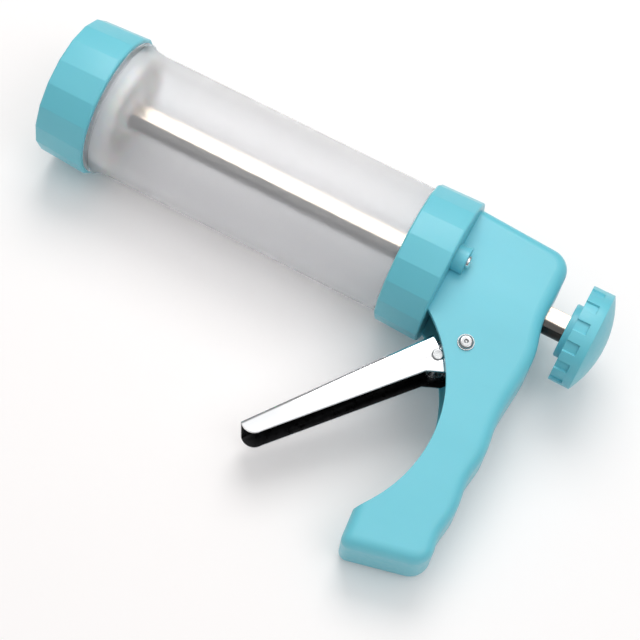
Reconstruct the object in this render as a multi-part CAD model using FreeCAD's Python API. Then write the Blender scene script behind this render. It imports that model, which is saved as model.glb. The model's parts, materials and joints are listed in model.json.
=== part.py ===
import FreeCAD, Part
import math
import os

from FreeCAD import Vector

# Cookie press, in millimetres.
#
# The pieces are drawn in the press's own frame and laid down on the table at the end.
# Own frame: X runs along the barrel axis towards the knob, with 0 at the collar's rear face.
# "s" is the distance from the barrel axis towards the grip's toe, so Y = -s.
# "w" is the distance sideways from the press's middle plane, so Z = w.
# Table frame: the press lies on its side, +Z is up, the barrel stays along X, the grip points
# to -Y, and the origin is the middle of the press's footprint, on the table.

# ---- fits and clearances ---------------------------------------------------------------
RUN = 0.08            # radial play of a turning or sliding steel fit
SCREW_FIT = 0.10      # radial play of the caps' screw-on sleeves
FACE_GAP = 0.10       # end play between faces that turn on each other
PAWL_LIFT = 0.40      # how far a pawl stands off the rod's tooth crests

# ---- rings and barrel ------------------------------------------------------------------
RING_FACETS = 18
RING_WALL = 3.5       # from the barrel to the rings' corners at their rear rim
RING_EDGE = 0.6       # chamfer on the rings' rims
COLLAR_LENGTH = 19.8
COLLAR_TAPER = 0.6    # how much smaller a ring is at its front rim
COLLAR_WALL = 3.0
COLLAR_MOUTH_PLAY = 0.9
COLLAR_MOUTH_DEPTH = 2.0
CAP_LENGTH = 22.3
CAP_TAPER = 1.2
CAP_LIP = 3.0
CAP_MOUTH_LEDGE = 4.0  # how far the cap's mouth covers the disc inside the barrel's bore
BARREL_R = 27.5
BARREL_WALL = 2.0
BARREL_LENGTH = 167.0
FLANGE_HEIGHT = 1.9   # the barrel's flange that the cap closes against
FLANGE_WIDTH = 2.2
FLARE_HEIGHT = 1.3    # the barrel swells a little towards that flange
FLARE_LENGTH = 8.0
SEAL_THICKNESS = 2.0
DISC_THICKNESS = 1.5
DISC_PLAY = 0.4
PETALS = 6
PETAL_REACH = 12.0
PETAL_R = 3.6
PETAL_CENTRE_R = 3.0

# ---- plunger, rod and knob -------------------------------------------------------------
PLUNGER_LENGTH = 12.0
PLUNGER_PLATE = 3.0
PLUNGER_PLAY = 0.5
PLUNGER_SKIRT = 2.2
PLUNGER_HUB_R = 9.0
PLUNGER_RIBS = 6
RIB_THICKNESS = 1.6
SEAL_BAND_WIDTH = 3.6
SEAL_BAND_DEPTH = 2.0
ROD_R = 5.8
ROD_FLAT = 7.6        # across the rod's two side flats
ROD_SPIGOT_R = 3.5
TOOTH_PITCH = 3.5
TOOTH_DEPTH = 1.5
TOOTH_BACK = 2.6      # length of a tooth's sloping back
TEETH_END_X = 27.0
KNOB_GAP = 9.0        # bare rod between the head and the knob's hub
KNOB_STOP = 0.5       # how near the knob's rim comes to the grip at the end of the stroke
WASHER_R = 7.5
WASHER_THICKNESS = 1.2
NUT_FLATS = 11.0
NUT_THICKNESS = 3.5
KNOB_R = 20.8
KNOB_RIM = 9.2
KNOB_RIB_LENGTH = 5.6
KNOB_RIBS = 14
KNOB_RIB_HEIGHT = 1.0
KNOB_RIB_WIDTH = 4.6
KNOB_DOME = 5.4
KNOB_HUB_R = 11.5
KNOB_HUB = 2.6
INSERT_R = 6.0
INSERT_LENGTH = 8.0

# ---- handle ----------------------------------------------------------------------------
HANDLE_HALF = 14.0
HANDLE_WALL = 2.5
HANDLE_ROUND = 5.0
HEAD_TOP = 26.2       # above the barrel axis, at the collar
HEAD_TOP_SLOPE = 2.4   # how much the head's top drops towards the rear
HEAD_CORNER = 9.0
HEAD_REAR_X = 42.0
HEAD_STRAIGHT_S = 1.0  # where the head's flat back starts to curve into the grip
GRIP_REAR_X = 45.1
GRIP_WAVE = 0.65
GRIP_WAVE_PITCH = 24.0
GRIP_WAVE_START = 42.0
GRIP_WAVES = 3
FRONT_ARC_START = (0.0, 24.0)
FRONT_ARC_MIDDLE = (24.7, 69.0)
TOE_FRONT = (11.0, 109.0)
TOE_TIP = (12.4, 124.0)
TOE_REAR_S = 116.0
TOE_CORNER = 8.0
TOE_TIP_ROUND = 3.5
GRIP_RIB_DEPTH = 7.0
GRIP_RIB_PITCH = 18.0
GRIP_RIB_FIRST = 58.0
GRIP_RIBS = 3
BOSS_R = 5.6
BOSS_LENGTH = 5.0
SCREW_STAND_OFF = 3.0  # from the handle's side to a collar screw's middle
SCREW_R = 1.5
SCREW_HEAD_R = 2.6
SCREW_HEAD = 1.6
SCREW_LENGTH = 12.0
POST_R = 4.0
POST_LENGTH = 6.0

# ---- rod guides ------------------------------------------------------------------------
GUIDE_R = 8.5
GUIDE_FLANGE_R = 10.5
GUIDE_FLANGE = 2.0

# ---- trigger ---------------------------------------------------------------------------
PIVOT = (19.3, 29.6)
PIVOT_R = 2.4
PIVOT_HEAD_R = 3.0
PIVOT_HEAD = 1.7
PIVOT_COLLAR_R = 3.4
PIVOT_COLLAR = 0.5
LEVER_HALF = 10.5
SHEET = 1.2
LEVER_BEND = 1.8
WEB_TOP = (6.2, 31.0)
WEB_NOTCH = (11.3, 35.7)
WEB_TIP = (-43.0, 98.2)
TIP_MIDDLE = (-38.9, 100.6)
TIP_BACK = (-34.0, 98.0)
KINK = (10.5, 46.0)
HEEL = (17.4, 43.0)
LEVER_EYE_R = 7.5
LEVER_PIN = (11.7, 38.1)
LEVER_PIN_R = 1.6
LEVER_PIN_HEAD_R = 2.4
LEVER_PIN_HEAD = 0.9
ARM_THICKNESS = 2.0
ARM_EYE_R = 6.0
ARM_TIP_R = 3.4
SLEEVE_WALL = 1.4
SPACER_R = 5.0
TRIGGER_SPRING_TURNS = 3 + 40 / 360.0
TRIGGER_SPRING_WIRE = 1.4
SPRING_WEB_LEG = 13.8
SPRING_LEG_GAP = 0.3

# ---- pawls -----------------------------------------------------------------------------
PAWL_HALF = 2.5
PAWL_PIN_R = 1.5
PAWL_EYE_R = 2.9
PAWL_PIN_ARM = 15.5   # trigger pivot to the drive pawl's pin
PAWL_PIN_LEAN = 28.0  # degrees behind the line square to the barrel, at rest
PAWL_TIP_LEAN = 12.0
PAWL_TIP_WIDTH = 1.6
HOLD_PIN_X = 36.2
HOLD_POST_R = 3.2
HOLD_POST_LENGTH = 3.5
PAWL_SPRING_WIRE = 0.5
PAWL_SPRING_TURNS = 2
PAWL_SPRING_LEG = 3.5

# ---- worked out from the sizes above ---------------------------------------------------
TOE_MEAN_S = (TOE_TIP[1] + TOE_REAR_S) / 2.0
TOE_REST_S = TOE_MEAN_S - HANDLE_ROUND
RING_R = BARREL_R + RING_WALL
COLLAR_FRONT_R = RING_R - COLLAR_TAPER
COLLAR_MOUTH_R = BARREL_R + COLLAR_MOUTH_PLAY
CAP_FRONT_R = RING_R - CAP_TAPER
CAP_MOUTH_R = BARREL_R - BARREL_WALL - CAP_MOUTH_LEDGE
FLANGE_R = BARREL_R + FLANGE_HEIGHT
FLARE_R = BARREL_R + FLARE_HEIGHT
SCREW_SPREAD = HANDLE_HALF + SCREW_STAND_OFF
LAY_ROLL = math.asin(RING_R / math.hypot(TOE_REST_S, HANDLE_HALF)) - math.atan2(HANDLE_HALF, TOE_REST_S)
BARREL_REAR_X = -COLLAR_WALL - SEAL_THICKNESS
BARREL_FRONT_X = BARREL_REAR_X - BARREL_LENGTH
BARREL_BORE_R = BARREL_R - BARREL_WALL
CAP_FRONT_X = BARREL_FRONT_X - DISC_THICKNESS - 2 * FACE_GAP - CAP_LIP
CAP_REAR_X = CAP_FRONT_X + CAP_LENGTH
KNOB_FACE_X = HEAD_REAR_X + KNOB_GAP
KNOB_RIM_X = KNOB_FACE_X + KNOB_HUB
KNOB_BACK_X = KNOB_RIM_X + KNOB_RIM
FORWARD_TRAVEL = KNOB_RIM_X - GRIP_REAR_X - GRIP_WAVE - KNOB_STOP
PLUNGER_FACE_X = BARREL_FRONT_X + FORWARD_TRAVEL + 1.0 + NUT_THICKNESS + WASHER_THICKNESS
PLUNGER_REAR_X = PLUNGER_FACE_X + PLUNGER_LENGTH
PLUNGER_R = BARREL_BORE_R - PLUNGER_PLAY
LEVER_INSIDE = LEVER_HALF - SHEET
ARM_INSIDE = LEVER_INSIDE - ARM_THICKNESS
CAVITY_HALF = HANDLE_HALF - HANDLE_WALL


def at(point, w=0.0):
    """The place (x, s) of the middle plane, moved w sideways."""
    return Vector(point[0], -point[1], w)


def rod_x(radius, x0, x1):
    """A round bar along the barrel axis."""
    return Part.makeCylinder(radius, x1 - x0, Vector(x0, 0, 0), Vector(1, 0, 0))


def rod_w(radius, point, w0, w1):
    """A round bar across the press at (x, s)."""
    return Part.makeCylinder(radius, w1 - w0, at(point, w0), Vector(0, 0, 1))


def block(x, s, w):
    """A box from three (low, high) pairs."""
    corner = Vector(x[0], -s[1], w[0])
    return Part.makeBox(x[1] - x[0], s[1] - s[0], w[1] - w[0], corner)


def slab(edges, w0, w1):
    """A flat plate between w0 and w1 whose outline is a closed chain of edges."""
    outline = Part.Wire(Part.__sortEdges__(edges))
    outline.translate(Vector(0, 0, w0))
    return Part.Face(outline).extrude(Vector(0, 0, w1 - w0))


def line(a, b):
    return Part.makeLine(at(a), at(b))


def chain(points):
    """Straight edges through the points and back to the first."""
    return [line(a, b) for a, b in zip(points, points[1:] + points[:1])]


def polar(centre, radius, degrees):
    """A point round a centre; 0 degrees is straight towards the barrel's far side, + is rearward."""
    turn = math.radians(degrees)
    return (centre[0] + radius * math.sin(turn), centre[1] - radius * math.cos(turn))


def fuse_all(shapes):
    whole = shapes[0]
    for shape in shapes[1:]:
        whole = whole.fuse(shape)
    return whole.removeSplitter()


def ring_outline(radius, x):
    """A regular ring outline with a facet facing each side of the press."""
    step = 2 * math.pi / RING_FACETS
    turns = [(i + 0.5) * step for i in range(RING_FACETS)]
    corners = [Vector(x, -radius * math.sin(t), radius * math.cos(t)) for t in turns]
    return Part.makePolygon(corners + corners[:1])


def faceted_ring(front_r, rear_r, x0, x1):
    """A faceted ring with a small chamfer round each rim."""
    outlines = [
        ring_outline(front_r - RING_EDGE, x0),
        ring_outline(front_r, x0 + RING_EDGE),
        ring_outline(rear_r, x1 - RING_EDGE),
        ring_outline(rear_r - RING_EDGE, x1),
    ]
    return Part.makeLoft(outlines, True, True)


def coil(radius, wire, turns, length, start, lead, tail):
    """A torsion spring round the w axis; its two legs leave the coil straight, at its tangents."""
    steps = math.ceil(turns * 12)
    path = []
    for i in range(steps + 1):
        turn = math.radians(start + 360.0 * turns * i / steps)
        path.append(Vector(radius * math.cos(turn), radius * math.sin(turn), (length - wire) * i / steps))
    first, last = math.radians(start - 90), math.radians(start + 360.0 * turns + 90)
    lead_way = Vector(math.cos(first), math.sin(first), 0)
    tail_way = Vector(math.cos(last), math.sin(last), 0)
    path = [path[0] + lead_way * (lead * part) for part in (1.0, 0.7, 0.4)] + path
    path = path + [path[-1] + tail_way * (tail * part) for part in (0.4, 0.7, 1.0)]
    route = Part.BSplineCurve()
    route.interpolate(path)
    section = Part.Circle(path[0], path[1] - path[0], wire / 2.0).toShape()
    return Part.Wire([route.toShape()]).makePipeShell([Part.Wire([section])], True, False)


# ---- barrel end ------------------------------------------------------------------------
def front_cap():
    ring = faceted_ring(CAP_FRONT_R, RING_R, CAP_FRONT_X, CAP_REAR_X)
    bore = rod_x(BARREL_R + SCREW_FIT, CAP_FRONT_X + CAP_LIP, CAP_REAR_X + 1)
    mouth = rod_x(CAP_MOUTH_R, CAP_FRONT_X - 1, CAP_FRONT_X + CAP_LIP + 1)
    return ring.cut(bore).cut(mouth)


def cookie_disc():
    x0 = CAP_FRONT_X + CAP_LIP + FACE_GAP
    disc = rod_x(BARREL_R - DISC_PLAY, x0, x0 + DISC_THICKNESS)
    holes = [rod_x(PETAL_CENTRE_R, x0 - 1, x0 + DISC_THICKNESS + 1)]
    for i in range(PETALS):
        petal = rod_x(PETAL_R, x0 - 1, x0 + DISC_THICKNESS + 1)
        petal.translate(Vector(0, PETAL_REACH, 0))
        stem = Part.makeBox(DISC_THICKNESS + 2, PETAL_REACH, PETAL_R, Vector(x0 - 1, 0, -PETAL_R / 2))
        petal = petal.fuse(stem)
        petal.rotate(Vector(0, 0, 0), Vector(1, 0, 0), i * 360.0 / PETALS)
        holes.append(petal)
    return disc.cut(fuse_all(holes))


def barrel():
    tube = rod_x(BARREL_R, BARREL_FRONT_X, BARREL_REAR_X)
    flange_x = CAP_REAR_X + FACE_GAP
    flare_x = flange_x + FLANGE_WIDTH
    flange = rod_x(FLANGE_R, flange_x, flare_x)
    flange = flange.makeFillet(0.5, [flange.Edges[0], flange.Edges[2]])
    swell = Part.BSplineCurve()
    swell_end = Vector(flare_x + FLARE_LENGTH, BARREL_R, 0)
    swell_middle = Vector(flare_x + FLARE_LENGTH * 0.4, BARREL_R + (FLARE_R - BARREL_R) * 0.3, 0)
    swell.interpolate([Vector(flare_x, FLARE_R, 0), swell_middle, swell_end])
    foot = [Vector(flare_x + FLARE_LENGTH, BARREL_BORE_R, 0), Vector(flare_x, BARREL_BORE_R, 0)]
    edges = [swell.toShape(), Part.makeLine(swell_end, foot[0]), Part.makeLine(foot[0], foot[1]),
             Part.makeLine(foot[1], Vector(flare_x, FLARE_R, 0))]
    flare = Part.Face(Part.Wire(edges)).revolve(Vector(0, 0, 0), Vector(1, 0, 0), 360)
    bore = rod_x(BARREL_BORE_R, BARREL_FRONT_X - 1, BARREL_REAR_X + 1)
    return tube.fuse(flange).fuse(flare).cut(bore).removeSplitter()


def barrel_seal():
    ring = rod_x(BARREL_R - SCREW_FIT, BARREL_REAR_X + FACE_GAP, -COLLAR_WALL - FACE_GAP)
    return ring.cut(rod_x(BARREL_BORE_R + SCREW_FIT, BARREL_REAR_X - 1, 0))


def collar():
    ring = faceted_ring(COLLAR_FRONT_R, RING_R, -COLLAR_LENGTH, 0)
    ring = ring.cut(rod_x(BARREL_R + SCREW_FIT, -COLLAR_LENGTH - 1, -COLLAR_WALL))
    ring = ring.cut(rod_x(COLLAR_MOUTH_R, -COLLAR_LENGTH - 1, COLLAR_MOUTH_DEPTH - COLLAR_LENGTH))
    for side in (-1, 1):
        post = rod_x(POST_R, -COLLAR_WALL - POST_LENGTH, -COLLAR_WALL / 2)
        post.translate(Vector(0, 0, side * SCREW_SPREAD))
        ring = ring.fuse(post)
    for side in (-1, 1):
        hole = rod_x(SCREW_R, BOSS_LENGTH - SCREW_LENGTH - 0.5, 1)
        hole.translate(Vector(0, 0, side * SCREW_SPREAD))
        ring = ring.cut(hole)
    return ring.cut(rod_x(GUIDE_R, -COLLAR_WALL - 1, 1)).removeSplitter()


def collar_screws():
    screws = []
    for side in (-1, 1):
        shank = rod_x(SCREW_R, BOSS_LENGTH - SCREW_LENGTH, BOSS_LENGTH + 0.1)
        head = rod_x(SCREW_HEAD_R, BOSS_LENGTH, BOSS_LENGTH + SCREW_HEAD)
        head = head.makeFillet(SCREW_HEAD * 0.6, head.Edges[:1])
        slot = SCREW_HEAD_R * 0.35
        x_cut = BOSS_LENGTH + SCREW_HEAD * 0.4
        for y, z in ((SCREW_HEAD_R * 0.7, slot / 2), (slot / 2, SCREW_HEAD_R * 0.7)):
            head = head.cut(Part.makeBox(SCREW_HEAD, 2 * y, 2 * z, Vector(x_cut, -y, -z)))
        screw = shank.fuse(head).removeSplitter()
        screw.translate(Vector(0, 0, side * SCREW_SPREAD))
        screws.append(screw)
    return Part.makeCompound(screws)


# ---- handle ----------------------------------------------------------------------------
def handle_blank(inset, half):
    """The handle's side outline moved inwards by inset, as a slab with rounded corners."""
    slope = (TOE_TIP[1] - TOE_REAR_S) / (GRIP_REAR_X - TOE_TIP[0])
    top0 = (0.0, -HEAD_TOP + inset)
    rear_top = (HEAD_REAR_X - inset, -HEAD_TOP + HEAD_TOP_SLOPE + inset)
    toe_rear = (GRIP_REAR_X + GRIP_WAVE - inset, TOE_REAR_S - inset)
    toe_tip = (TOE_TIP[0] + inset, TOE_TIP[1] - inset * (1 + slope))
    toe_front = (TOE_FRONT[0] + inset, TOE_FRONT[1])
    arc_middle = (FRONT_ARC_MIDDLE[0] + inset, FRONT_ARC_MIDDLE[1])
    arc = Part.Arc(at(toe_front), at(arc_middle), at(FRONT_ARC_START))
    head_foot = (HEAD_REAR_X - inset, HEAD_STRAIGHT_S)
    waves = [(GRIP_REAR_X - inset, GRIP_WAVE_START - GRIP_WAVE_PITCH)]
    for i in range(GRIP_WAVES):
        s = GRIP_WAVE_START + i * GRIP_WAVE_PITCH
        waves.append((GRIP_REAR_X - GRIP_WAVE - inset, s + GRIP_WAVE_PITCH / 2.0))
        waves.append((GRIP_REAR_X + GRIP_WAVE - inset, s + GRIP_WAVE_PITCH))
    back = Part.BSplineCurve()
    path = [at(p) for p in [head_foot] + waves[:-1] + [toe_rear]]
    back.interpolate(path, InitialTangent=Vector(0, -1, 0), FinalTangent=Vector(0, -1, 0))
    blank = slab([
        line(top0, rear_top),
        line(rear_top, head_foot),
        back.toShape(),
        line(toe_rear, toe_tip),
        line(toe_tip, toe_front),
        arc.toShape(),
        line(FRONT_ARC_START, top0),
    ], -half, half)
    for corner, radius in ((rear_top, HEAD_CORNER), (toe_rear, TOE_CORNER), (toe_tip, TOE_TIP_ROUND)):
        upright = [e for e in blank.Edges if e.BoundBox.ZLength > 1 and on_line(e, corner)]
        blank = blank.makeFillet(radius - inset, upright)
    return blank


def on_line(edge, point):
    """Whether an edge runs across the press through (x, s)."""
    start = edge.valueAt(edge.FirstParameter)
    return math.hypot(start.x - point[0], start.y + point[1]) < 0.01


def rounded_rims(solid):
    """The rims of the handle's sides that get rounded: all but the open front."""
    chosen = []
    for edge in solid.Edges:
        middle = edge.valueAt((edge.FirstParameter + edge.LastParameter) / 2.0)
        behind_front = middle.x > FRONT_ARC_MIDDLE[0] + HANDLE_WALL
        on_top = middle.x > 1 and -middle.y < 0
        on_toe = -middle.y > TOE_FRONT[1] + HANDLE_ROUND
        if edge.BoundBox.ZLength < 0.01 and (behind_front or on_top or on_toe):
            chosen.append(edge)
    return chosen


def handle():
    shell = handle_blank(0.0, HANDLE_HALF)
    shell = shell.makeFillet(HANDLE_ROUND, rounded_rims(shell))
    cavity = handle_blank(HANDLE_WALL, CAVITY_HALF)
    collar_side = block((-1, HANDLE_WALL + 2), (HANDLE_WALL - HEAD_TOP, FRONT_ARC_START[1]),
                        (-CAVITY_HALF, CAVITY_HALF))
    front = Part.Arc(at(TOE_FRONT), at(FRONT_ARC_MIDDLE), at(FRONT_ARC_START)).toShape().Curve
    foot = Vector(front.Center.x, front.Center.y, -CAVITY_HALF)
    sweep = Part.makeCylinder(front.Radius + HANDLE_WALL + 1, 2 * CAVITY_HALF, foot, Vector(0, 0, 1))
    open_front = sweep.common(block((-1, HEAD_REAR_X), (10, TOE_FRONT[1] - HANDLE_WALL),
                                    (-CAVITY_HALF, CAVITY_HALF)))
    shell = shell.cut(cavity).cut(collar_side).cut(open_front)
    for side in (-1, 1):
        boss = rod_x(BOSS_R, 0, BOSS_LENGTH)
        boss.translate(Vector(0, 0, side * SCREW_SPREAD))
        keep_w = sorted((side * (CAVITY_HALF + 0.5), side * (SCREW_SPREAD + BOSS_R)))
        boss = boss.common(block((0, BOSS_LENGTH), (-BOSS_R, BOSS_R), keep_w))
        shell = shell.fuse(boss)
        reach = sorted((side * (CAVITY_HALF - HOLD_POST_LENGTH), side * (CAVITY_HALF + 0.5)))
        shell = shell.fuse(rod_w(HOLD_POST_R, HOLD_PIN, reach[0], reach[1]))
    for i in range(GRIP_RIBS):
        s = GRIP_RIB_FIRST + i * GRIP_RIB_PITCH
        rear = GRIP_REAR_X - HANDLE_WALL
        shell = shell.fuse(block((rear - GRIP_RIB_DEPTH, rear + 1), (s, s + RIB_THICKNESS),
                                 (-CAVITY_HALF - 0.5, CAVITY_HALF + 0.5)))
    for side in (-1, 1):
        hole = rod_x(SCREW_R + RUN, -1, BOSS_LENGTH + 1)
        hole.translate(Vector(0, 0, side * SCREW_SPREAD))
        shell = shell.cut(hole)
    blind = HANDLE_WALL - 1.2
    shell = shell.cut(rod_w(PAWL_PIN_R, HOLD_PIN, -CAVITY_HALF - blind, CAVITY_HALF + blind))
    shell = shell.cut(rod_w(PIVOT_R, PIVOT, -HANDLE_HALF - 1, HANDLE_HALF + 1))
    shell = shell.cut(rod_x(GUIDE_R, HEAD_REAR_X - HANDLE_WALL - 3, HEAD_REAR_X + 5))
    return shell.removeSplitter()


def guide(seat_x, bush_end):
    """A flanged nylon bush that the rod slides and turns in; its flange sits inside the head."""
    flange_end = seat_x + math.copysign(GUIDE_FLANGE, seat_x - bush_end)
    flange = rod_x(GUIDE_FLANGE_R, min(seat_x, flange_end), max(seat_x, flange_end))
    bush = flange.fuse(rod_x(GUIDE_R, min(seat_x, bush_end), max(seat_x, bush_end)))
    bore = rod_x(ROD_R + RUN, min(flange_end, bush_end) - 1, max(flange_end, bush_end) + 1)
    return bush.cut(bore).removeSplitter()


# ---- plunger, rod and knob -------------------------------------------------------------
def plunger():
    body = rod_x(PLUNGER_R, PLUNGER_FACE_X, PLUNGER_REAR_X)
    pocket_r = PLUNGER_R - PLUNGER_SKIRT - SEAL_BAND_DEPTH
    pocket = rod_x(pocket_r, PLUNGER_FACE_X + PLUNGER_PLATE, PLUNGER_REAR_X + 1)
    hub = rod_x(PLUNGER_HUB_R, PLUNGER_FACE_X + 1, PLUNGER_REAR_X)
    body = body.cut(pocket).fuse(hub)
    for i in range(PLUNGER_RIBS):
        rib = Part.makeBox(PLUNGER_LENGTH - PLUNGER_PLATE, PLUNGER_R - PLUNGER_SKIRT, RIB_THICKNESS,
                           Vector(PLUNGER_FACE_X + 1, 0, -RIB_THICKNESS / 2))
        rib.rotate(Vector(0, 0, 0), Vector(1, 0, 0), (i + 0.5) * 360.0 / PLUNGER_RIBS)
        body = body.fuse(rib)
    middle = (PLUNGER_FACE_X + PLUNGER_REAR_X) / 2.0
    groove = rod_x(PLUNGER_R + 1, middle - SEAL_BAND_WIDTH / 2, middle + SEAL_BAND_WIDTH / 2)
    floor_r = PLUNGER_R - SEAL_BAND_DEPTH
    groove = groove.cut(rod_x(floor_r, middle - SEAL_BAND_WIDTH, middle + SEAL_BAND_WIDTH))
    bore = rod_x(ROD_SPIGOT_R + RUN, PLUNGER_FACE_X - 1, PLUNGER_REAR_X + 1)
    return body.cut(groove).cut(bore).removeSplitter()


def plunger_seal():
    middle = (PLUNGER_FACE_X + PLUNGER_REAR_X) / 2.0
    half = SEAL_BAND_WIDTH / 2 - 0.1
    band = rod_x(BARREL_BORE_R - RUN, middle - half, middle + half)
    band = band.makeFillet(0.8, [band.Edges[0], band.Edges[2]])
    return band.cut(rod_x(PLUNGER_R - SEAL_BAND_DEPTH, middle - half - 1, middle + half + 1))


def plunger_washer():
    x1 = PLUNGER_FACE_X - FACE_GAP / 2
    ring = rod_x(WASHER_R, x1 - WASHER_THICKNESS, x1)
    return ring.cut(rod_x(ROD_SPIGOT_R, x1 - WASHER_THICKNESS - 1, x1 + 1))


def plunger_nut():
    x1 = PLUNGER_FACE_X - FACE_GAP / 2 - WASHER_THICKNESS
    corner = NUT_FLATS / math.sqrt(3)
    turns = [math.radians(60 * i) for i in range(7)]
    hexagon = [Vector(x1 - NUT_THICKNESS, corner * math.cos(t), corner * math.sin(t)) for t in turns]
    nut = Part.Face(Part.makePolygon(hexagon)).extrude(Vector(NUT_THICKNESS, 0, 0))
    return nut.cut(rod_x(ROD_SPIGOT_R, x1 - NUT_THICKNESS - 1, x1 + 1))


def ratchet_rod():
    """A round bar with two side flats and saw teeth along the edge that faces the grip."""
    front = PLUNGER_REAR_X + FACE_GAP / 2
    bar = rod_x(ROD_R, front, KNOB_FACE_X + 0.5)
    half_flat = ROD_FLAT / 2
    bar = bar.common(block((front, KNOB_FACE_X + 0.5), (-ROD_R, ROD_R), (-half_flat, half_flat)))
    teeth = int((TEETH_END_X - front) / TOOTH_PITCH) - 1
    first = TEETH_END_X - teeth * TOOTH_PITCH
    saw = [(first, ROD_R + 1)]
    for i in range(teeth):
        x = first + i * TOOTH_PITCH
        saw.append((x, ROD_R))
        saw.append((x, ROD_R - TOOTH_DEPTH))
        saw.append((x + TOOTH_PITCH - TOOTH_BACK, ROD_R - TOOTH_DEPTH))
        saw.append((x + TOOTH_PITCH, ROD_R))
    saw.append((TEETH_END_X, ROD_R + 1))
    distinct = [p for i, p in enumerate(saw) if i == 0 or p != saw[i - 1]]
    bar = bar.cut(slab(chain(distinct), -ROD_R, ROD_R))
    nose_x = PLUNGER_FACE_X - WASHER_THICKNESS - NUT_THICKNESS - FACE_GAP
    spigot = rod_x(ROD_SPIGOT_R, nose_x, front + 0.5)
    tail = rod_x(ROD_SPIGOT_R, KNOB_FACE_X, KNOB_FACE_X + INSERT_LENGTH + KNOB_HUB)
    return fuse_all([bar, spigot, tail])


def knob():
    rim = rod_x(KNOB_R, KNOB_RIM_X + KNOB_RIB_LENGTH, KNOB_BACK_X)
    core = rod_x(KNOB_R - KNOB_RIB_HEIGHT, KNOB_RIM_X, KNOB_BACK_X)
    hub = rod_x(KNOB_HUB_R, KNOB_FACE_X, KNOB_RIM_X + 1)
    hub = hub.makeFillet(0.8, hub.Edges[2:])
    ball_r = (KNOB_R ** 2 + KNOB_DOME ** 2) / (2 * KNOB_DOME)
    ball = Part.makeSphere(ball_r, Vector(KNOB_BACK_X + KNOB_DOME - ball_r, 0, 0))
    dome = ball.common(rod_x(KNOB_R, KNOB_BACK_X - 0.5, KNOB_BACK_X + KNOB_DOME + 1))
    pieces = [core, rim, hub, dome]
    for i in range(KNOB_RIBS):
        rib_corner = Vector(KNOB_RIM_X, -KNOB_RIB_WIDTH / 2, 0)
        rib = Part.makeBox(KNOB_RIB_LENGTH + 0.5, KNOB_RIB_WIDTH, KNOB_R, rib_corner)
        rib = rib.common(rod_x(KNOB_R, KNOB_RIM_X, KNOB_BACK_X))
        rib.rotate(Vector(0, 0, 0), Vector(1, 0, 0), i * 360.0 / KNOB_RIBS)
        pieces.append(rib)
    whole = fuse_all(pieces)
    return whole.cut(rod_x(INSERT_R, KNOB_FACE_X - 1, KNOB_FACE_X + INSERT_LENGTH + KNOB_HUB))


def knob_insert():
    end = KNOB_FACE_X + INSERT_LENGTH + KNOB_HUB
    sleeve = rod_x(INSERT_R, KNOB_FACE_X + 0.5, end)
    return sleeve.cut(rod_x(ROD_SPIGOT_R, KNOB_FACE_X - 1, end + 1))


# ---- trigger ---------------------------------------------------------------------------
def pivot_rivet():
    shank = rod_w(PIVOT_R, PIVOT, -HANDLE_HALF, HANDLE_HALF)
    pieces = [shank]
    for side in (-1, 1):
        face = side * HANDLE_HALF
        plate = sorted((face, face + side * PIVOT_COLLAR))
        head = sorted((face, face + side * PIVOT_HEAD))
        dome = rod_w(PIVOT_HEAD_R, PIVOT, head[0], head[1])
        crown = [e for e in dome.Edges if abs(e.BoundBox.ZMax - (face + side * PIVOT_HEAD)) < 0.01
                 and e.BoundBox.ZLength < 0.01]
        dome = dome.makeFillet(1.1, crown)
        dimple = Part.makeSphere(1.1, at(PIVOT, face + side * (PIVOT_HEAD + 0.6)))
        pieces.append(rod_w(PIVOT_COLLAR_R, PIVOT, plate[0], plate[1]))
        pieces.append(dome.cut(dimple))
    return fuse_all(pieces)


def pivot_spacers():
    spacers = []
    for side in (-1, 1):
        span = sorted((side * (LEVER_HALF + FACE_GAP), side * CAVITY_HALF))
        ring = rod_w(SPACER_R, PIVOT, span[0], span[1])
        spacers.append(ring.cut(rod_w(PIVOT_R + RUN, PIVOT, span[0] - 1, span[1] + 1)))
    return Part.makeCompound(spacers)


def pivot_sleeve():
    half = ARM_INSIDE - FACE_GAP
    tube = rod_w(PIVOT_R + RUN + SLEEVE_WALL, PIVOT, -half, half)
    return tube.cut(rod_w(PIVOT_R + RUN, PIVOT, -half - 1, half + 1))


def lever_side():
    """The lever's side outline: web edge, rounded tip, tapering open edge, kink and eye."""
    eye_front = polar(PIVOT, LEVER_EYE_R, -100)
    eye_top = polar(PIVOT, LEVER_EYE_R, 10)
    eye_back = polar(PIVOT, LEVER_EYE_R, 120)
    return [
        line(WEB_TOP, WEB_TIP),
        Part.Arc(at(WEB_TIP), at(TIP_MIDDLE), at(TIP_BACK)).toShape(),
        line(TIP_BACK, KINK),
        line(KINK, HEEL),
        line(HEEL, eye_back),
        Part.Arc(at(eye_back), at(eye_top), at(eye_front)).toShape(),
        line(eye_front, WEB_NOTCH),
        line(WEB_NOTCH, WEB_TOP),
    ]


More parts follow.
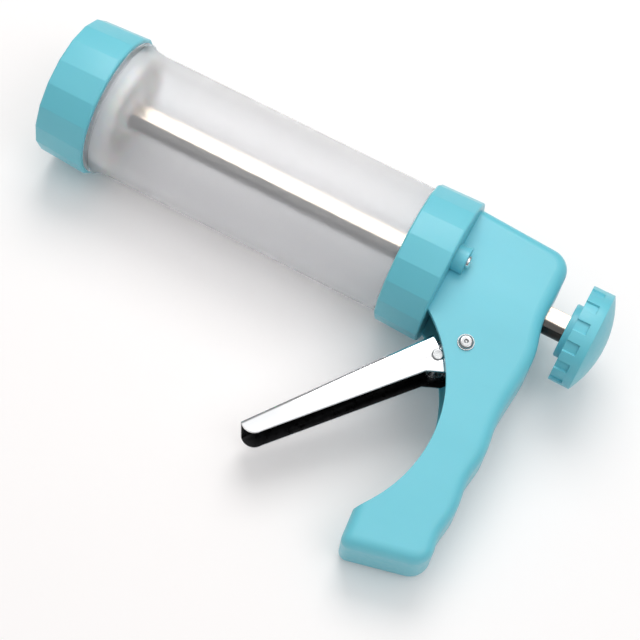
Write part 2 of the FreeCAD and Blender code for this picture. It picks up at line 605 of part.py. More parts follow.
def trigger_lever():
    """A pressed steel channel: two tapering sides joined by the web that the fingers pull."""
    blank = slab(lever_side(), -LEVER_HALF, LEVER_HALF)
    along = at(WEB_TIP) - at(WEB_TOP)
    bends = [e for e in blank.Edges if e.BoundBox.ZLength < 0.01 and abs(e.Length - along.Length) < 0.01]
    blank = blank.makeFillet(LEVER_BEND, bends)
    down = along.normalize()
    inward = Vector(-down.y, down.x, 0) * SHEET
    far = Vector(-down.y, down.x, 0) * 60.0
    beyond = down * 15.0
    corners = [at(WEB_TOP) + inward - beyond * 2, at(WEB_TIP) + inward + beyond]
    corners = corners + [corners[1] + far, corners[0] + far]
    edges = [Part.makeLine(a, b) for a, b in zip(corners, corners[1:] + corners[:1])]
    channel = blank.cut(slab(edges, -LEVER_INSIDE, LEVER_INSIDE))
    channel = channel.cut(rod_w(PIVOT_R + RUN, PIVOT, -LEVER_HALF - 1, LEVER_HALF + 1))
    return channel.cut(rod_w(LEVER_PIN_R, LEVER_PIN, -LEVER_HALF - 1, LEVER_HALF + 1)).removeSplitter()


def drive_arms():
    """Two steel plates inside the lever that carry the drive pawl up to the rod."""
    arms = []
    hull = tangent_plate([(LEVER_PIN, ARM_TIP_R), (PIVOT, ARM_EYE_R), (DRIVE_PIN, ARM_TIP_R)])
    for side in (-1, 1):
        span = sorted((side * ARM_INSIDE, side * LEVER_INSIDE))
        arm = fuse_all([slab(edges, span[0], span[1]) for edges in hull])
        arm = arm.cut(rod_w(PIVOT_R + RUN, PIVOT, span[0] - 1, span[1] + 1))
        arm = arm.cut(rod_w(LEVER_PIN_R, LEVER_PIN, span[0] - 1, span[1] + 1))
        arms.append(arm.cut(rod_w(PAWL_PIN_R, DRIVE_PIN, span[0] - 1, span[1] + 1)))
    return Part.makeCompound(arms)


def tangent_plate(eyes):
    """Outlines that join round eyes with straight belts: each eye, and each neighbouring pair."""
    outlines = []
    for centre, radius in eyes:
        outlines.append([Part.makeCircle(radius, at(centre), Vector(0, 0, 1))])
    for (c0, r0), (c1, r1) in zip(eyes, eyes[1:]):
        run = at(c1) - at(c0)
        heading = math.atan2(run.y, run.x)
        spread = math.acos((r0 - r1) / run.Length)
        corners = []
        touches = ((c0, r0, spread), (c1, r1, spread), (c1, r1, -spread), (c0, r0, -spread))
        for centre, radius, turn in touches:
            angle = heading + turn
            corners.append((centre[0] + radius * math.cos(angle), centre[1] - radius * math.sin(angle)))
        outlines.append(chain(corners))
    return outlines


def cross_pin(point, radius, half, head_r=0.0, head=0.0):
    """A plain pin across the press, with flat rivet heads when they are asked for."""
    pin = rod_w(radius, point, -half - head, half + head)
    if not head_r:
        return pin
    heads = [rod_w(head_r, point, half, half + head), rod_w(head_r, point, -half - head, -half)]
    heads = [h.makeFillet(head * 0.6, [e for e in h.Edges if abs(abs(e.BoundBox.ZMax) - half - head) < 0.01
                                       and e.BoundBox.ZLength < 0.01]) for h in heads]
    return fuse_all([pin] + heads)


# ---- pawls and springs -----------------------------------------------------------------
def pawl(pin, tip):
    """A blunt strut from its pin to the rod's teeth, leaning forward."""
    run = at(tip) - at(pin)
    side = Vector(-run.y, run.x, 0).normalize()
    foot_a = at(pin) + side * PAWL_EYE_R
    foot_b = at(pin) - side * PAWL_EYE_R
    tip_front = at(tip)
    tip_back = Vector(tip_front.x + PAWL_TIP_WIDTH, tip_front.y - PAWL_TIP_WIDTH * 0.45, 0)
    corners = [foot_a, tip_front, tip_back, foot_b]
    if side.x > 0:
        corners = [foot_b, tip_front, tip_back, foot_a]
    edges = [Part.makeLine(a, b) for a, b in zip(corners, corners[1:] + corners[:1])]
    body = slab(edges, -PAWL_HALF, PAWL_HALF).fuse(rod_w(PAWL_EYE_R, pin, -PAWL_HALF, PAWL_HALF))
    return body.cut(rod_w(PAWL_PIN_R + RUN, pin, -PAWL_HALF - 1, PAWL_HALF + 1)).removeSplitter()


def pawl_spring(pin, w0, w1):
    """A small torsion spring beside a pawl, on the pawl's own pin."""
    spring = coil(PAWL_PIN_R + PAWL_SPRING_WIRE, PAWL_SPRING_WIRE, PAWL_SPRING_TURNS, w1 - w0,
                  180.0, PAWL_SPRING_LEG, PAWL_SPRING_LEG)
    spring.translate(at(pin, w0 + PAWL_SPRING_WIRE / 2.0))
    return spring


def trigger_spring():
    """The trigger's return spring: one leg on the head's back wall, one on the lever's web."""
    half = ARM_INSIDE - 2 * FACE_GAP
    radius = PIVOT_R + RUN + SLEEVE_WALL + TRIGGER_SPRING_WIRE * 0.5 + 0.2
    spring = coil(radius, TRIGGER_SPRING_WIRE, TRIGGER_SPRING_TURNS, 2 * half, 90.0,
                  GRIP_REAR_X - HANDLE_WALL - PIVOT[0] - SPRING_LEG_GAP, SPRING_WEB_LEG)
    spring.translate(at(PIVOT, -half + TRIGGER_SPRING_WIRE / 2.0))
    return spring


TIP_ARM = PIVOT[1] - ROD_R - PAWL_LIFT
DRIVE_PIN = polar(PIVOT, PAWL_PIN_ARM, PAWL_PIN_LEAN)
DRIVE_TIP = polar(PIVOT, TIP_ARM, PAWL_TIP_LEAN)
HOLD_PIN = (HOLD_PIN_X, DRIVE_PIN[1])
HOLD_TIP = (HOLD_PIN_X + DRIVE_TIP[0] - DRIVE_PIN[0], ROD_R + PAWL_LIFT)

NODES = {
    "front_cap": front_cap(),
    "cookie_disc": cookie_disc(),
    "barrel": barrel(),
    "barrel_seal": barrel_seal(),
    "collar": collar(),
    "collar_screws": collar_screws(),
    "handle": handle(),
    "front_guide": guide(0.0, -COLLAR_WALL),
    "rear_guide": guide(HEAD_REAR_X - HANDLE_WALL, HEAD_REAR_X),
    "plunger": plunger(),
    "plunger_seal": plunger_seal(),
    "plunger_washer": plunger_washer(),
    "plunger_nut": plunger_nut(),
    "ratchet_rod": ratchet_rod(),
    "knob": knob(),
    "knob_insert": knob_insert(),
    "pivot_rivet": pivot_rivet(),
    "pivot_spacers": pivot_spacers(),
    "pivot_sleeve": pivot_sleeve(),
    "trigger_lever": trigger_lever(),
    "drive_arms": drive_arms(),
    "lever_rivet": cross_pin(LEVER_PIN, LEVER_PIN_R, LEVER_HALF, LEVER_PIN_HEAD_R, LEVER_PIN_HEAD),
    "trigger_spring": trigger_spring(),
    "drive_pawl": pawl(DRIVE_PIN, DRIVE_TIP),
    "drive_pawl_pin": cross_pin(DRIVE_PIN, PAWL_PIN_R, LEVER_INSIDE),
    "drive_pawl_spring": pawl_spring(DRIVE_PIN, PAWL_HALF + FACE_GAP, ARM_INSIDE - FACE_GAP),
    "hold_pawl": pawl(HOLD_PIN, HOLD_TIP),
    "hold_pawl_pin": cross_pin(HOLD_PIN, PAWL_PIN_R, CAVITY_HALF + HANDLE_WALL - 1.2),
    "hold_pawl_spring": pawl_spring(HOLD_PIN, PAWL_HALF + FACE_GAP, ARM_INSIDE - FACE_GAP),
}

os.makedirs("parts", exist_ok=True)
for shape in NODES.values():
    shape.rotate(Vector(0, 0, 0), Vector(1, 0, 0), math.degrees(LAY_ROLL))
press = Part.makeCompound(list(NODES.values())).optimalBoundingBox(False)
footprint = Vector(-(press.XMin + press.XMax) / 2, -(press.YMin + press.YMax) / 2, -press.ZMin)
for name, shape in NODES.items():
    shape.translate(footprint)
    shape.exportStep(f"parts/{name}.step")
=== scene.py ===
import json
import math

import bmesh
import bpy
from mathutils import Matrix, Vector


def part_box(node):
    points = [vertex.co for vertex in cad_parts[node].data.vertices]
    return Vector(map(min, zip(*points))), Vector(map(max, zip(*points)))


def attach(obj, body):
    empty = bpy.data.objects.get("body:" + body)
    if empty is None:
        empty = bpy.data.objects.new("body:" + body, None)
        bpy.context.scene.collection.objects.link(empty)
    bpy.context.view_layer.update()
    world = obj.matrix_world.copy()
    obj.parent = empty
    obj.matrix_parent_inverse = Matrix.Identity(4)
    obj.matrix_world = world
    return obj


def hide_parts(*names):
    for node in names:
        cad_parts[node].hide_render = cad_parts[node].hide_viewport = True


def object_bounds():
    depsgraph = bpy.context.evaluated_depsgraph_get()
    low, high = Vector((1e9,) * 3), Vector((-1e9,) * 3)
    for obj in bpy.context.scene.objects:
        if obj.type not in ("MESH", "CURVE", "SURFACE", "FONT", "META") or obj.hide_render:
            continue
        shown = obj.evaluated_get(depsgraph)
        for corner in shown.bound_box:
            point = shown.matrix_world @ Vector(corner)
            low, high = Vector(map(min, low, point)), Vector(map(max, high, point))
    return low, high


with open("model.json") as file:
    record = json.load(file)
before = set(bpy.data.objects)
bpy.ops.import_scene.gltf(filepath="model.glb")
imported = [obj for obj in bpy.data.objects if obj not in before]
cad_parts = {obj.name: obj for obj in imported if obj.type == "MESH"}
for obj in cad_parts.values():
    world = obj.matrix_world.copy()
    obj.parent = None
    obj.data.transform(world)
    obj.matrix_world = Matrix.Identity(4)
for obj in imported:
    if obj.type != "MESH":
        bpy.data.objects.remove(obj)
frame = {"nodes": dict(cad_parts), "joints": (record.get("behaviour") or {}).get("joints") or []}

# The looks of the cookie press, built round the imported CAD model. Metres, CAD frame.
# The barrel lies along X, the knob is at +X, the grip points to -Y and +Z is up.

MM = 0.001
CAD_LOW, CAD_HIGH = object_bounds()


def middle(node):
    """The centre of a CAD node's box."""
    low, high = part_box(node)
    return (low + high) / 2


BARREL_LOW, BARREL_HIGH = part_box("barrel")
AXIS_Y = middle("barrel").y
AXIS_Z = middle("barrel").z
COLLAR_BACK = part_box("collar")[1].x
AXIS_POINT = Vector((COLLAR_BACK, AXIS_Y, AXIS_Z))
TRIGGER_JOINT = next(joint for joint in frame["joints"] if joint["name"] == "trigger_squeeze")

# SIDE runs across the press, along the trigger's axis, and TOE_WARD runs down the grip.
SIDE = Vector(TRIGGER_JOINT["axis"]).normalized()
LAY_ROLL = math.atan2(-SIDE.y, SIDE.z)
TOE_WARD = Vector((0.0, -math.cos(LAY_ROLL), -math.sin(LAY_ROLL)))

# ---- camera ----------------------------------------------------------------------------
LENS = 101.25
SENSOR = 36.0
VIEW_AZIMUTH = 16.28
VIEW_ELEVATION = 61.79
VIEW_ROLL = 12.43
VIEW_DISTANCE = 710.2 * MM
VIEW_CENTRE = Vector((-36.1, -46.1, 0.0)) * MM
VIEW_LAY_ROLL = 7.5


def make_camera():
    """The camera, placed from the barrel's axis at the collar's rear face."""
    azimuth = math.radians(VIEW_AZIMUTH)
    elevation = math.radians(VIEW_ELEVATION)
    back = Vector((math.sin(azimuth) * math.cos(elevation),
                   -math.cos(azimuth) * math.cos(elevation),
                   math.sin(elevation)))
    level = Vector((math.cos(azimuth), math.sin(azimuth), 0.0))
    upward = back.cross(level)
    turn = math.radians(VIEW_ROLL)
    right = level * math.cos(turn) + upward * math.sin(turn)
    up = upward * math.cos(turn) - level * math.sin(turn)
    place = VIEW_CENTRE + back * VIEW_DISTANCE
    pose = Matrix((right, up, back)).transposed().to_4x4()
    pose.translation = place
    settle = Matrix.Rotation(LAY_ROLL - math.radians(VIEW_LAY_ROLL), 4, "X")
    camera = bpy.data.objects.new("camera", bpy.data.cameras.new("camera"))
    camera.data.lens = LENS
    camera.data.sensor_width = SENSOR
    camera.data.clip_start = 0.01
    camera.data.clip_end = 20.0
    bpy.context.scene.collection.objects.link(camera)
    camera.matrix_world = Matrix.Translation(AXIS_POINT) @ settle @ pose
    bpy.context.scene.camera = camera


# ---- materials -------------------------------------------------------------------------
NOISE_LOW = 0.3
NOISE_HIGH = 0.7
BEVEL_SAMPLES = 6


class Look:
    """A node material with one Principled shader and short calls that add detail to it."""

    def __init__(self, name, roughness, metallic=0.0):
        self.material = bpy.data.materials.new(name)
        self.material.use_nodes = True
        self.tree = self.material.node_tree
        self.shader = self.tree.nodes["Principled BSDF"]
        self.shader.inputs["Roughness"].default_value = roughness
        self.shader.inputs["Metallic"].default_value = metallic
        self.place = self.add("ShaderNodeTexCoord").outputs["Object"]
        self.height = None

    def add(self, kind, **settings):
        node = self.tree.nodes.new(kind)
        for key, value in settings.items():
            setattr(node, key, value)
        return node

    def join(self, output, target):
        self.tree.links.new(output, target)

    def stretched(self, scale):
        """Object coordinates scaled differently along X, Y and Z."""
        mapping = self.add("ShaderNodeMapping")
        mapping.inputs["Scale"].default_value = scale
        self.join(self.place, mapping.inputs["Vector"])
        return mapping.outputs["Vector"]

    def noise(self, scale, detail=3.0, place=None):
        node = self.add("ShaderNodeTexNoise")
        node.inputs["Scale"].default_value = scale
        node.inputs["Detail"].default_value = detail
        self.join(place or self.place, node.inputs["Vector"])
        return node.outputs["Fac"]

    def ramp(self, value, stops):
        """A colour ramp through (position, colour) stops."""
        node = self.add("ShaderNodeValToRGB")
        elements = node.color_ramp.elements
        while len(elements) < len(stops):
            elements.new(0.5)
        for element, (position, colour) in zip(elements, stops):
            element.position = position
            element.color = (*colour, 1.0)
        self.join(value, node.inputs["Fac"])
        return node.outputs["Color"]

    def colour(self, value, stops):
        self.join(self.ramp(value, stops), self.shader.inputs["Base Color"])

    def shine(self, value, low, high):
        """Roughness that wanders between low and high."""
        node = self.add("ShaderNodeMapRange")
        node.inputs["From Min"].default_value = NOISE_LOW
        node.inputs["From Max"].default_value = NOISE_HIGH
        node.inputs["To Min"].default_value = low
        node.inputs["To Max"].default_value = high
        self.join(value, node.inputs["Value"])
        self.join(node.outputs["Result"], self.shader.inputs["Roughness"])

    def relief(self, value, depth, strength=1.0):
        """Adds a bump layer, depth in metres, on top of the layers before it."""
        bump = self.add("ShaderNodeBump")
        bump.inputs["Strength"].default_value = strength
        bump.inputs["Distance"].default_value = depth
        self.join(value, bump.inputs["Height"])
        if self.height is not None:
            self.join(self.height, bump.inputs["Normal"])
        self.height = bump.outputs["Normal"]
        self.join(self.height, self.shader.inputs["Normal"])

    def soft_edges(self, radius):
        """Rounds sharp edges for the light, by radius in metres."""
        edge = self.add("ShaderNodeBevel", samples=BEVEL_SAMPLES)
        edge.inputs["Radius"].default_value = radius
        self.height = edge.outputs["Normal"]
        self.join(self.height, self.shader.inputs["Normal"])

    def set(self, **values):
        for key, value in values.items():
            self.shader.inputs[key.replace("_", " ")].default_value = value


def teal_plastic():
    """Satin moulded plastic: fine grain, faint flow marks and an uneven shine."""
    look = Look("teal_plastic_look", 0.36)
    look.soft_edges(0.35 * MM)
    flow = look.noise(28.0, 4.0, look.stretched((0.35, 1.0, 1.0)))
    look.colour(flow, [(0.25, (0.150, 0.575, 0.685)), (0.55, (0.165, 0.610, 0.725)),
                       (0.80, (0.185, 0.635, 0.750))])
    look.shine(look.noise(420.0), 0.30, 0.42)
    look.relief(look.noise(2600.0, 2.0), 0.02 * MM, 0.35)
    look.relief(look.noise(60.0, 2.0), 0.10 * MM, 0.15)
    look.set(Coat_Weight=0.12, Coat_Roughness=0.22, Specular_IOR_Level=0.45)
    look.set(Subsurface_Weight=0.06, Subsurface_Scale=2.0 * MM)
    return look.material


def frosted_barrel():
    """Frosted clear plastic: a milky skin that blurs what is behind it, faint draw lines."""
    look = Look("frosted_barrel_look", 0.20)
    cloud = look.noise(22.0, 3.0, look.stretched((0.3, 1.0, 1.0)))
    look.colour(cloud, [(0.30, (0.940, 0.955, 0.985)), (0.70, (0.965, 0.978, 0.998))])
    look.shine(look.noise(60.0, 2.0, look.stretched((0.2, 1.0, 1.0))), 0.17, 0.23)
    look.relief(look.noise(420.0, 2.0, look.stretched((0.03, 1.0, 1.0))), 0.004 * MM, 0.15)
    look.set(Transmission_Weight=0.68, IOR=1.15, Alpha=0.55)
    look.set(Subsurface_Weight=0.6, Subsurface_Scale=6.0 * MM, Subsurface_Radius=(1.0, 1.0, 1.0))
    look.set(Coat_Weight=0.30, Coat_Roughness=0.30)
    return look.material


# The rod's toothed side is painted dark as shade and dark reflection: it starts this far past the axis,
# fades in over the next length and has a noisy edge.
PAINTED_SHADE_START = 0.9 * MM
PAINTED_SHADE_FADE = 1.4 * MM
PAINTED_SHADE_WANDER = 0.30


def rod_steel():
    """Bright bar with pale flats and a toothed side painted dark, as painted shade and dark reflection,
    from a set distance past the axis.
    """
    look = Look("rod_steel_look", 0.20, 1.0)
    look.soft_edges(0.12 * MM)
    across = look.add("ShaderNodeVectorMath", operation="DOT_PRODUCT")
    across.inputs[1].default_value = TOE_WARD
    look.join(look.place, across.inputs[0])
    depth = look.add("ShaderNodeMapRange")
    start = AXIS_POINT.dot(TOE_WARD) + PAINTED_SHADE_START
    depth.inputs["From Min"].default_value = start
    depth.inputs["From Max"].default_value = start + PAINTED_SHADE_FADE
    look.join(across.outputs["Value"], depth.inputs["Value"])
    wander = look.add("ShaderNodeMath", operation="MULTIPLY_ADD")
    look.join(look.noise(260.0, 3.0), wander.inputs[0])
    wander.inputs[1].default_value = PAINTED_SHADE_WANDER
    look.join(depth.outputs["Result"], wander.inputs[2])
    # Pale flats, then the toothed side painted near-black as shade and dark reflection.
    look.colour(wander.outputs["Value"], [(0.10, (0.780, 0.660, 0.540)), (0.35, (0.740, 0.625, 0.510)),
                                          (0.75, (0.070, 0.066, 0.062)), (1.00, (0.040, 0.038, 0.036))])
    grain = look.noise(1000.0, 2.0, look.stretched((0.05, 1.0, 1.0)))
    look.shine(grain, 0.16, 0.28)
    look.relief(grain, 0.012 * MM, 0.30)
    return look.material


def brushed(name, dark, light, roughness, lines, scale=(1.0, 1.0, 1.0)):
    """Brushed or drawn metal: fine lines, slow tone changes and small marks."""
    look = Look(name, roughness, 1.0)
    look.soft_edges(0.12 * MM)
    grain = look.noise(lines, 2.0, look.stretched(scale))
    look.colour(look.noise(90.0, 4.0), [(0.30, dark), (0.70, light)])
    look.shine(grain, roughness * 0.75, roughness * 1.3)
    look.relief(grain, 0.012 * MM, 0.30)
    return look.material


def chrome():
    """Bright plating: a slight orange peel and an uneven shine."""
    look = Look("chrome_look", 0.07, 1.0)
    look.soft_edges(0.25 * MM)
    look.colour(look.noise(70.0, 3.0), [(0.30, (0.835, 0.845, 0.860)), (0.70, (0.900, 0.905, 0.915))])
    look.shine(look.noise(520.0, 3.0), 0.04, 0.10)
    look.relief(look.noise(240.0, 2.0), 0.02 * MM, 0.12)
    return look.material


def seal_rubber():
    """Off-white sealing rubber: a dull skin with fine pores."""
    look = Look("seal_rubber_look", 0.62)
    look.colour(look.noise(160.0, 4.0), [(0.25, (0.660, 0.680, 0.700)), (0.70, (0.780, 0.790, 0.800))])
    look.shine(look.noise(700.0), 0.52, 0.72)
    look.relief(look.noise(1800.0, 3.0), 0.03 * MM, 0.4)
    return look.material


def white_plastic():
    """Satin white moulding: fine grain, and some light passes through it."""
    look = Look("white_plastic_look", 0.38)
    look.soft_edges(0.2 * MM)
    look.colour(look.noise(60.0, 4.0), [(0.30, (0.780, 0.780, 0.765)), (0.70, (0.860, 0.860, 0.850))])
    look.shine(look.noise(480.0), 0.32, 0.46)
    look.relief(look.noise(2200.0, 2.0), 0.02 * MM, 0.35)
    look.set(Subsurface_Weight=0.5, Subsurface_Scale=5.0 * MM)
    return look.material


def brass_insert():
    """Turned brass with fine rings round it."""
    look = Look("brass_insert_look", 0.28, 1.0)
    look.colour(look.noise(120.0, 3.0), [(0.30, (0.560, 0.390, 0.130)), (0.70, (0.700, 0.520, 0.220))])
    look.shine(look.noise(600.0), 0.20, 0.36)
    look.relief(look.noise(900.0, 1.0, look.stretched((1.0, 0.3, 0.3))), 0.08 * MM, 0.5)
    return look.material


FLOOR_LIFT = 0.07


def floor_paper():
    """A pale matt table top with the faintest tooth."""
    look = Look("floor_look", 0.85)
    look.colour(look.noise(3.0, 3.0), [(0.30, (0.925, 0.905, 0.905)), (0.70, (0.940, 0.920, 0.918))])
    look.relief(look.noise(900.0, 2.0), 0.02 * MM, 0.15)
    look.set(Specular_IOR_Level=0.15)
    rays = look.add("ShaderNodeLightPath")
    seen = look.add("ShaderNodeMath", operation="MAXIMUM")
    look.join(rays.outputs["Is Camera Ray"], seen.inputs[0])
    look.join(rays.outputs["Is Transmission Ray"], seen.inputs[1])
    lift = look.add("ShaderNodeMath", operation="MULTIPLY")
    look.join(seen.outputs["Value"], lift.inputs[0])
    lift.inputs[1].default_value = FLOOR_LIFT
    look.join(lift.outputs["Value"], look.shader.inputs["Emission Strength"])
    look.set(Emission_Color=(1.0, 0.945, 0.935, 1.0))
    return look.material


def channel_painted_shade():
    """The inside of the pressed lever, coloured near-black: painted shade and dark reflection inside the
    channel.
    """
    look = Look("channel_inside_look", 0.30, 1.0)
    look.colour(look.noise(120.0, 3.0), [(0.30, (0.022, 0.022, 0.023)), (0.70, (0.040, 0.040, 0.042))])
    look.shine(look.noise(500.0), 0.24, 0.38)
    look.relief(look.noise(300.0, 2.0), 0.02 * MM, 0.2)
    return look.material


# One look for each slot of the record.
LOOKS = {
    "teal_plastic": teal_plastic(),
    "frosted_barrel": frosted_barrel(),
    "disc_aluminium": brushed("disc_aluminium_look", (0.70, 0.71, 0.72), (0.82, 0.83, 0.84), 0.34,
                              900.0, (1.0, 1.0, 0.06)),
    "seal_rubber": seal_rubber(),
    "white_plastic": white_plastic(),
    "bright_steel": brushed("bright_steel_look", (0.50, 0.50, 0.51), (0.64, 0.64, 0.65), 0.24, 1100.0),
    "rod_steel": rod_steel(),
    "chrome": chrome(),
    "brass_insert": brass_insert(),
}
RIVET_LOOK = brushed("rivet_look", (0.36, 0.37, 0.38), (0.52, 0.53, 0.54), 0.20, 700.0)
RIVETS = ("pivot_rivet", "lever_rivet")


def dress_nodes():
    """Gives every CAD node the detailed look of its record slot; rivets are duller than the lever."""
    for name, node in frame["nodes"].items():
        for slot in node.material_slots:
            base = slot.material.name.split(".")[0]
            slot.material = RIVET_LOOK if name in RIVETS else LOOKS[base]


# ---- pieces ----------------------------------------------------------------------------
def add_piece(name, mesh, slot, body, *nodes):
    """Links a finished mesh as a piece that rides on a body and stands for CAD nodes."""
    piece = bpy.data.objects.new(name, mesh)
    bpy.context.scene.collection.objects.link(piece)
    mesh.materials.clear()
    mesh.materials.append(LOOKS[slot])
    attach(piece, body)
    if nodes:
        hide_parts(*nodes)
    return piece


LATHE_SHARP = math.radians(40)


def lathe(name, profile, steps, centre=AXIS_POINT):
    """A mesh turned round the line along X through centre, from a closed (x, radius) outline."""
    shape = bmesh.new()
    rings = []
    for i in range(steps):
        angle = 2 * math.pi * i / steps
        rings.append([shape.verts.new((x, centre.y + r * math.cos(angle), centre.z + r * math.sin(angle)))
                      for x, r in profile])
    for i, ring in enumerate(rings):
        after = rings[(i + 1) % steps]
        for j in range(len(profile)):
            k = (j + 1) % len(profile)
            shape.faces.new((ring[j], ring[k], after[k], after[j]))
    bmesh.ops.recalc_face_normals(shape, faces=shape.faces)
    mesh = bpy.data.meshes.new(name)
    shape.to_mesh(mesh)
    shape.free()
    mesh.shade_smooth()
    mesh.set_sharp_from_angle(angle=LATHE_SHARP)
    return mesh


WELD = 0.002 * MM
FLAT_ANGLE = math.radians(0.6)
ROUND_SEGMENTS = 3
ROUNDED_SHARP = math.radians(24)


def rounded(node, width, body, slot, angle):
    """The CAD node's shape with its edges over angle degrees rounded, standing for the node."""
    shape = bmesh.new()
    shape.from_mesh(frame["nodes"][node].data)
    bmesh.ops.remove_doubles(shape, verts=shape.verts, dist=WELD)
    bmesh.ops.dissolve_limit(shape, angle_limit=FLAT_ANGLE, verts=shape.verts, edges=shape.edges)
    sharp = [e for e in shape.edges if e.is_manifold and e.calc_face_angle(0.0) > math.radians(angle)]
    bmesh.ops.bevel(shape, geom=sharp, offset=width, offset_type="OFFSET", segments=ROUND_SEGMENTS,
                    profile=0.5, affect="EDGES", clamp_overlap=True)
    mesh = bpy.data.meshes.new(node + "_rounded")
    shape.to_mesh(mesh)
    shape.free()
    mesh.shade_smooth()
    mesh.set_sharp_from_angle(angle=ROUNDED_SHARP)
    return add_piece(node + "_rounded", mesh, slot, body, node)


# These pick the faces inside the lever's channel that get the painted shade.
LEVER_SHEET = 1.2 * MM
SHEET_SHARE = 0.9
WEB_OUTWARD = Vector((-0.807, 0.0, 0.0)) - TOE_WARD * 0.590
OUTWARD_LIMIT = 0.3


def paint_channel_shade(lever):
    """Gives the faces inside the lever's channel their own darker look: painted shade and dark
    reflection.
    """
    lever.data.materials.append(channel_painted_shade())
    reach = max((v.co - AXIS_POINT).dot(SIDE) for v in lever.data.vertices)
    for face in lever.data.polygons:
        sideways = abs((face.center - AXIS_POINT).dot(SIDE))
        inside = sideways < reach - LEVER_SHEET * SHEET_SHARE
        if inside and face.normal.dot(WEB_OUTWARD) < OUTWARD_LIMIT:
            face.material_index = 1


BARREL_R = 27.5 * MM
BARREL_WALL = 2.0 * MM
FLANGE_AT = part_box("front_cap")[1].x + 0.10 * MM
FLANGE_WIDTH = 2.2 * MM
FLANGE_ROUND = 0.5 * MM
FLARE_LENGTH = 8.0 * MM
FLARE_HEIGHT = 1.3 * MM
FLARE_POWER = 2.2
FLARE_STEPS = 12
RIM_ROUND = 0.4 * MM
BARREL_STEPS = 240


def arc(x, r, radius, start, stop, steps=6):
    """Points on a small arc in the (x, radius) plane, angles in degrees from +x towards +r."""
    turns = [math.radians(start + (stop - start) * i / steps) for i in range(steps + 1)]
    return [(x + radius * math.cos(t), r + radius * math.sin(t)) for t in turns]


def make_barrel():
    """The frosted tube: rounded rims, the flange behind the cap and the swell up to it."""
    flange_r = (BARREL_HIGH.y - BARREL_LOW.y) / 2
    inner = BARREL_R - BARREL_WALL
    front = BARREL_LOW.x
    rear = BARREL_HIGH.x
    flare_at = FLANGE_AT + FLANGE_WIDTH
    top = flange_r - FLANGE_ROUND
    outline = [(front, inner)]
    outline += arc(front + RIM_ROUND, BARREL_R - RIM_ROUND, RIM_ROUND, 180, 90)
    outline += [(FLANGE_AT, BARREL_R)]
    outline += arc(FLANGE_AT + FLANGE_ROUND, top, FLANGE_ROUND, 180, 90)
    outline += arc(flare_at - FLANGE_ROUND, top, FLANGE_ROUND, 90, 0)
    for i in range(FLARE_STEPS + 1):
        along = i / FLARE_STEPS
        swell = FLARE_HEIGHT * (1 - along) ** FLARE_POWER
        outline.append((flare_at + FLARE_LENGTH * along, BARREL_R + swell))
    outline += arc(rear - RIM_ROUND, BARREL_R - RIM_ROUND, RIM_ROUND, 90, 0)
    outline += [(rear, inner)]
    tube = lathe("barrel_tube", outline, BARREL_STEPS)
    add_piece("barrel_tube", tube, "frosted_barrel", "barrel", "barrel")


SCREW_SPREAD = 17.0 * MM
SCREW_HEAD_R = 2.6 * MM
SCREW_HEAD = 1.6 * MM
SCREW_CROWN = 0.75 * MM
CROWN_STEPS = 8
SCREW_R = 1.5 * MM
SCREW_TIP_SHARE = 0.7
SCREW_EDGE_IN = 0.1 * MM
SCREW_EDGE_UP = 0.15 * MM
AXIS_GAP = 0.02 * MM
SCREW_STEPS = 48
CROSS_LENGTH = 2.7 * MM
CROSS_WIDTH = 0.62 * MM
CROSS_DEPTH = 0.9 * MM
CROSS_TURN = 20
CUT_SHARP = math.radians(30)


def cut(mesh, cutters):
    """The mesh with box-shaped cutters (middle, size, turn about X) taken out of it."""
    body = bpy.data.objects.new("cut_body", mesh)
    bpy.context.scene.collection.objects.link(body)
    tools = []
    for centre, size, turn in cutters:
        shape = bmesh.new()
        bmesh.ops.create_cube(shape, size=1.0)
        place = Matrix.Translation(centre) @ Matrix.Rotation(turn, 4, "X") @ Matrix.Diagonal((*size, 1.0))
        shape.transform(place)
        tool_mesh = bpy.data.meshes.new("cutter")
        shape.to_mesh(tool_mesh)
        shape.free()
        tool = bpy.data.objects.new("cutter", tool_mesh)
        bpy.context.scene.collection.objects.link(tool)
        tools.append(tool)
        change = body.modifiers.new("cut", "BOOLEAN")
        change.object = tool
        change.operation = "DIFFERENCE"
        change.solver = "EXACT"
    graph = bpy.context.evaluated_depsgraph_get()
    result = bpy.data.meshes.new_from_object(body.evaluated_get(graph))
    for used in [body, *tools]:
        bpy.data.objects.remove(used)
    result.set_sharp_from_angle(angle=CUT_SHARP)
    return result


def make_screws():
    """The two collar screws: domed heads with a cross recess, and their shanks."""
    low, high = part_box("collar_screws")
    top = high.x
    seat = top - SCREW_HEAD
    for number, side in ((1, -1), (2, 1)):
        centre = AXIS_POINT + SIDE * SCREW_SPREAD * side
        outline = [(low.x, AXIS_GAP), (low.x, SCREW_R * SCREW_TIP_SHARE), (low.x + SCREW_R, SCREW_R),
                   (seat, SCREW_R), (seat, SCREW_HEAD_R - SCREW_EDGE_IN),
                   (seat + SCREW_EDGE_UP, SCREW_HEAD_R)]
        for i in range(CROWN_STEPS + 1):
            lean = math.pi / 2 * i / CROWN_STEPS
            outline.append((top - SCREW_CROWN + SCREW_CROWN * math.sin(lean),
                            AXIS_GAP + (SCREW_HEAD_R - AXIS_GAP) * math.cos(lean)))
        name = f"collar_screw_{number}"
        crown_top = Vector((top, centre.y, centre.z))
        arm = (2 * CROSS_DEPTH, CROSS_LENGTH, CROSS_WIDTH)
        arms = [(crown_top, arm, math.radians(CROSS_TURN + 90 * i)) for i in range(2)]
        mesh = cut(lathe(name, outline, SCREW_STEPS, centre), arms)
        add_piece(name, mesh, "chrome", "handle", "collar_screws")


# ---- light and floor -------------------------------------------------------------------
LAMP_TARGET = Vector((0.0, 0.0, 0.03))


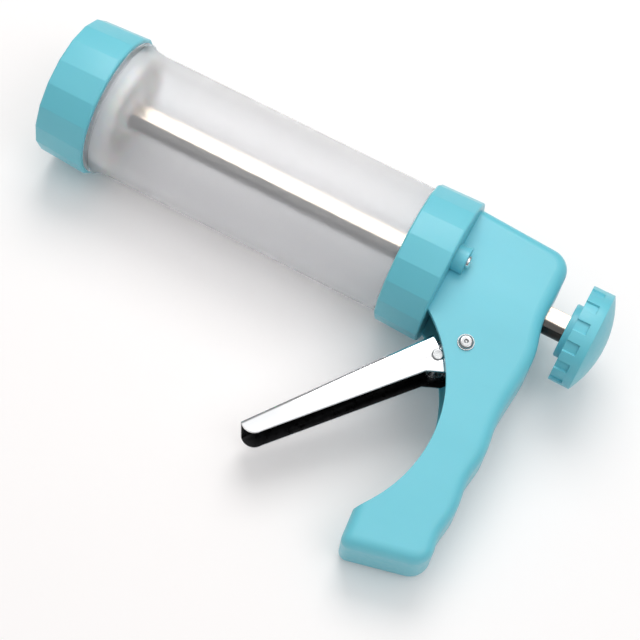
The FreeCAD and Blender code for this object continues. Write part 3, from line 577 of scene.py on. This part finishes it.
def add_lamp(name, place, size, power, colour):
    """A square soft lamp that faces the press."""
    lamp = bpy.data.objects.new(name, bpy.data.lights.new(name, "AREA"))
    lamp.data.size = size
    lamp.data.energy = power
    lamp.data.color = colour
    lamp.location = Vector(place)
    lamp.rotation_euler = (LAMP_TARGET - lamp.location).to_track_quat("-Z", "Y").to_euler()
    bpy.context.scene.collection.objects.link(lamp)


SKY = [(0.0, 0.08), (0.35, 0.20), (0.70, 0.42), (0.90, 0.86), (1.0, 1.0)]
SKY_STRENGTH = 1.22
CAMERA_WHITE = (1.0, 0.985, 0.98, 1.0)


def light_the_set():
    """A sky that is bright overhead and dark below, a plain white for the camera, and two lamps."""
    world = bpy.data.worlds.new("studio")
    bpy.context.scene.world = world
    world.use_nodes = True
    tree = world.node_tree
    background = tree.nodes["Background"]
    place = tree.nodes.new("ShaderNodeTexCoord")
    split = tree.nodes.new("ShaderNodeSeparateXYZ")
    ramp = tree.nodes.new("ShaderNodeValToRGB")
    elements = ramp.color_ramp.elements
    while len(elements) < len(SKY):
        elements.new(0.5)
    for element, (height, level) in zip(elements, SKY):
        element.position = height
        element.color = (level, level, level, 1.0)
    tree.links.new(place.outputs["Generated"], split.inputs["Vector"])
    tree.links.new(split.outputs["Z"], ramp.inputs["Fac"])
    tree.links.new(ramp.outputs["Color"], background.inputs["Color"])
    background.inputs["Strength"].default_value = SKY_STRENGTH
    plain = tree.nodes.new("ShaderNodeBackground")
    plain.inputs["Color"].default_value = CAMERA_WHITE
    rays = tree.nodes.new("ShaderNodeLightPath")
    mix = tree.nodes.new("ShaderNodeMixShader")
    tree.links.new(rays.outputs["Is Camera Ray"], mix.inputs["Fac"])
    tree.links.new(background.outputs["Background"], mix.inputs[1])
    tree.links.new(plain.outputs["Background"], mix.inputs[2])
    tree.links.new(mix.outputs["Shader"], tree.nodes["World Output"].inputs["Surface"])
    add_lamp("key", (-0.20, 0.50, 0.95), 0.60, 4.4, (1.0, 0.985, 0.96))
    add_lamp("fill", (0.55, -0.15, 0.90), 0.50, 1.2, (0.96, 0.98, 1.0))


FLOOR_HALF = 4.0
FLOOR_CELLS = 24
FLOOR_DROP = 0.02 * MM


def make_floor():
    """The table top under the press."""
    shape = bmesh.new()
    bmesh.ops.create_grid(shape, x_segments=FLOOR_CELLS, y_segments=FLOOR_CELLS, size=FLOOR_HALF)
    mesh = bpy.data.meshes.new("floor")
    shape.to_mesh(mesh)
    shape.free()
    mesh.materials.append(floor_paper())
    floor = bpy.data.objects.new("floor", mesh)
    floor.location.z = CAD_LOW.z - FLOOR_DROP
    bpy.context.scene.collection.objects.link(floor)


bpy.context.scene.view_settings.view_transform = "Standard"
make_camera()
dress_nodes()
make_barrel()
rounded("front_cap", 0.35 * MM, "front_cap", "teal_plastic", 16.0)
rounded("collar", 0.35 * MM, "handle", "teal_plastic", 16.0)
rounded("knob", 0.30 * MM, "rod", "teal_plastic", 35.0)
paint_channel_shade(rounded("trigger_lever", 0.20 * MM, "trigger", "chrome", 35.0))
make_screws()
light_the_set()
make_floor()
